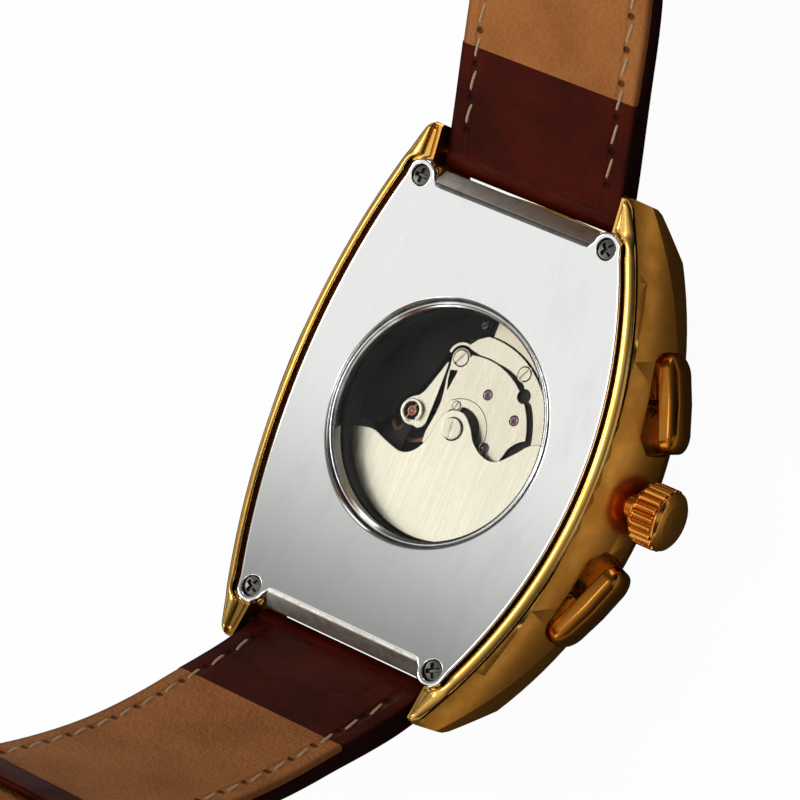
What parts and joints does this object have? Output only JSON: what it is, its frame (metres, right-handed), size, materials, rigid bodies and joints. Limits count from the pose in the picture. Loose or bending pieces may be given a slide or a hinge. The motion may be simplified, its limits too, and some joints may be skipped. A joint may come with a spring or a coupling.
{
  "type": "rectangular wristwatch",
  "caption": "Tonneau-shaped automatic wristwatch lying on its crystal, with a glazed case back, crown, two pushers and an open leather strap with a pin buckle.",
  "frame": {"origin": "middle of the crystal's flat, on the surface that the watch lies on", "axes": "+X to the crown, +Y to the six o'clock strap, +Z out of the case back"},
  "size_m": [0.0441, 0.1326, 0.1049],
  "materials": {
    "gold": "polished",
    "polished_steel": "mirror polished",
    "steel": "polished",
    "movement_metal": "fine grained",
    "wheel_brass": "gilt",
    "blued_steel": "blued",
    "dial_silver": "silvered",
    "sapphire": "clear",
    "gasket_rubber": "matte",
    "black_holder": "matte",
    "ruby": "polished",
    "leather": "glossy",
    "lining_leather": "matte"
  },
  "bodies": {
    "case": {"case_middle": "gold", "bezel": "gold", "crystal": "sapphire", "crystal_gasket": "gasket_rubber", "inner_flange": "steel", "dial": "dial_silver", "hour_markers": "gold", "back_plate": "polished_steel", "window_ring": "polished_steel", "window_glass": "sapphire", "back_gasket": "gasket_rubber", "back_screws": "steel", "movement_ring": "black_holder", "movement_cover": "black_holder", "main_plate": "movement_metal", "pallet_bridge": "movement_metal", "hairspring": "blued_steel", "balance_cock": "movement_metal", "train_bridge": "movement_metal", "top_bridge": "movement_metal", "ring_bridge": "movement_metal", "jewels": "ruby", "bridge_screws": "steel", "ratchet_wheel": "steel", "rotor_screw": "steel", "crown_tube": "gold", "pusher_tubes": "steel", "spring_bars": "steel"},
    "seconds": {"fourth_wheel": "wheel_brass", "seconds_hand": "gold"},
    "minutes": {"centre_wheel": "wheel_brass", "minute_hand": "gold"},
    "hours": {"hour_wheel": "wheel_brass", "hour_hand": "gold"},
    "third": {"third_wheel": "wheel_brass"},
    "escape": {"escape_wheel": "steel"},
    "mainspring_barrel": {"barrel": "wheel_brass"},
    "minute_work": {"minute_wheel": "wheel_brass"},
    "day": {"day_hand": "gold"},
    "date": {"date_hand": "gold"},
    "day_night": {"day_night_hand": "gold"},
    "pallet": {"pallet_fork": "steel"},
    "balance": {"balance_wheel": "wheel_brass"},
    "rotor": {"rotor_plate": "movement_metal", "rotor_weight": "movement_metal"},
    "lever": {"setting_lever": "steel"},
    "crown": {"crown": "gold", "winding_stem": "steel"},
    "pusher_two": {"pusher_two": "gold"},
    "pusher_four": {"pusher_four": "gold"},
    "strap_six": {"strap_six": "leather", "lining_six": "lining_leather"},
    "strap_twelve": {"strap_twelve": "leather", "lining_twelve": "lining_leather", "fixed_keeper": "leather"},
    "free_keeper": {"free_keeper": "leather"},
    "buckle": {"buckle_frame": "gold", "buckle_bar": "steel"},
    "tongue": {"buckle_tongue": "gold"}
  },
  "joints": [
    {"name": "seconds_spin", "type": "hinge", "parent": "case", "child": "seconds", "pos_m": [0, 0, 0.003], "axis": [0, 0, 1], "continuous": true},
    {"name": "minutes_spin", "type": "hinge", "parent": "case", "child": "minutes", "pos_m": [0, 0, 0.003], "axis": [0, 0, 1], "continuous": true},
    {"name": "hours_spin", "type": "hinge", "parent": "case", "child": "hours", "pos_m": [0, 0, 0.0035], "axis": [0, 0, 1], "continuous": true},
    {"name": "third_spin", "type": "hinge", "parent": "case", "child": "third", "pos_m": [0.00294, 0.0017, 0.005], "axis": [0, 0, 1], "continuous": true},
    {"name": "escape_spin", "type": "hinge", "parent": "case", "child": "escape", "pos_m": [-0.00116, 0.0032, 0.005], "axis": [0, 0, 1], "continuous": true},
    {"name": "barrel_spin", "type": "hinge", "parent": "case", "child": "mainspring_barrel", "pos_m": [-0.00085, -0.00483, 0.0055], "axis": [0, 0, 1], "continuous": true},
    {"name": "minute_work_spin", "type": "hinge", "parent": "case", "child": "minute_work", "pos_m": [-0.0019, 0.00145, 0.0046], "axis": [0, 0, 1], "continuous": true},
    {"name": "day_spin", "type": "hinge", "parent": "case", "child": "day", "pos_m": [-0.007, 0, 0.004], "axis": [0, 0, 1], "continuous": true},
    {"name": "date_spin", "type": "hinge", "parent": "case", "child": "date", "pos_m": [0.007, 0, 0.004], "axis": [0, 0, 1], "continuous": true},
    {"name": "day_night_spin", "type": "hinge", "parent": "case", "child": "day_night", "pos_m": [0, 0.0086, 0.004], "axis": [0, 0, 1], "continuous": true},
    {"name": "pallet_rock", "type": "hinge", "parent": "case", "child": "pallet", "pos_m": [-0.00277, 0.00201, 0.0056], "axis": [0, 0, 1], "range_deg": [-3, 3]},
    {"name": "balance_swing", "type": "hinge", "parent": "case", "child": "balance", "pos_m": [-0.00539, 0.00007, 0.0067], "axis": [0, 0, 1], "range_deg": [-135, 135], "stiffness_Nm_per_rad": 0.0000001},
    {"name": "rotor_spin", "type": "hinge", "parent": "case", "child": "rotor", "pos_m": [0, 0, 0.0084], "axis": [0, 0, 1], "continuous": true},
    {"name": "crown_pull", "type": "slide", "parent": "case", "child": "lever", "axis": [1, 0, 0], "range_m": [0, 0.001]},
    {"name": "crown_turn", "type": "hinge", "parent": "lever", "child": "crown", "pos_m": [0.02, 0, 0.0062], "axis": [1, 0, 0], "continuous": true},
    {"name": "push_two", "type": "slide", "parent": "case", "child": "pusher_two", "axis": [-0.9272, 0.3746, 0], "range_m": [0, 0.0008], "stiffness_N_per_m": 400, "springref_m": -0.0005},
    {"name": "push_four", "type": "slide", "parent": "case", "child": "pusher_four", "axis": [-0.9272, -0.3746, 0], "range_m": [0, 0.0008], "stiffness_N_per_m": 400, "springref_m": -0.0005},
    {"name": "strap_six_swing", "type": "hinge", "parent": "case", "child": "strap_six", "pos_m": [0, 0.024, 0.0111], "axis": [1, 0, 0], "range_deg": [-26, 30]},
    {"name": "strap_twelve_swing", "type": "hinge", "parent": "case", "child": "strap_twelve", "pos_m": [0, -0.024, 0.0111], "axis": [-1, 0, 0], "range_deg": [-48, 30]},
    {"name": "keeper_slide", "type": "slide", "parent": "strap_twelve", "child": "free_keeper", "axis": [0, -0.2441, 0.9698], "range_m": [-0.006, 0.014]},
    {"name": "buckle_swing", "type": "hinge", "parent": "strap_twelve", "child": "buckle", "pos_m": [0, -0.04871, 0.08064], "axis": [-1, 0, 0], "range_deg": [-35, 35]},
    {"name": "tongue_swing", "type": "hinge", "parent": "buckle", "child": "tongue", "pos_m": [0, -0.04871, 0.08064], "axis": [1, 0, 0], "range_deg": [0, 60]}
  ],
  "couplings": [
    {"joint": "minutes_spin", "follows": "seconds_spin", "ratio": 0.016667},
    {"joint": "hours_spin", "follows": "seconds_spin", "ratio": 0.0013889},
    {"joint": "third_spin", "follows": "seconds_spin", "ratio": -0.13333},
    {"joint": "escape_spin", "follows": "seconds_spin", "ratio": -9},
    {"joint": "barrel_spin", "follows": "seconds_spin", "ratio": -0.0027778},
    {"joint": "minute_work_spin", "follows": "seconds_spin", "ratio": -0.0055556},
    {"joint": "day_night_spin", "follows": "seconds_spin", "ratio": 0.00069444},
    {"joint": "day_spin", "follows": "seconds_spin", "ratio": 0.000099206},
    {"joint": "date_spin", "follows": "seconds_spin", "ratio": 0.000022401}
  ]
}
